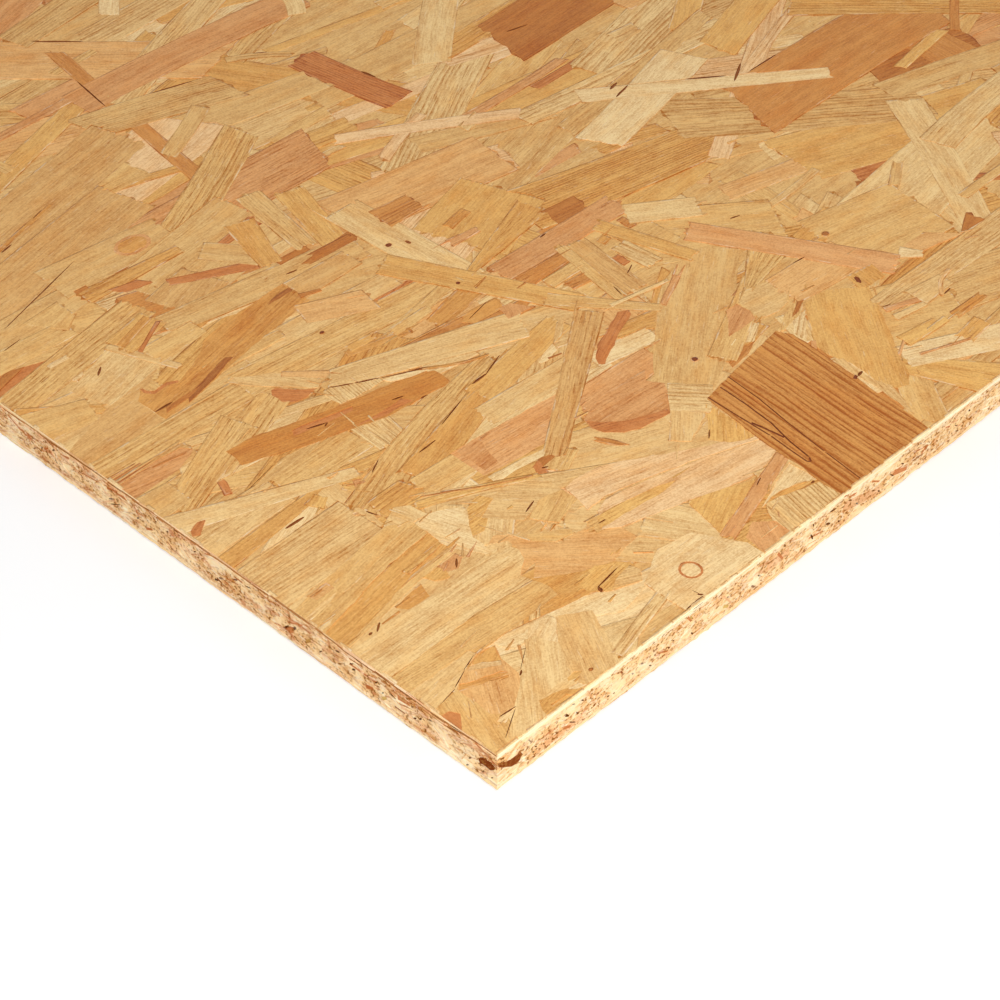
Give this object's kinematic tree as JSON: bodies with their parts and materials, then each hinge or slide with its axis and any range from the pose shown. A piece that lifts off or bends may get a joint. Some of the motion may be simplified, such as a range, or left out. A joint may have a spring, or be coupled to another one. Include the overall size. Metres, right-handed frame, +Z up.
{
  "type": "osb panel",
  "caption": "Square-edged oriented strand board panel, 1220 x 610 x 18 mm, lying flat, with sawn edges and gaps between its strand ends.",
  "frame": {"origin": "centre of the underside, on the floor", "axes": "+X along the panel, the way most surface strands run; +Y across it; +Z up, out of the top face"},
  "size_m": [1.22, 0.61, 0.018],
  "materials": {
    "strand_board": "unsanded pressed strands of softwood, matt with a slight wax sheen"
  },
  "bodies": {
    "root": {"osb_panel": "strand_board"}
  },
  "joints": []
}
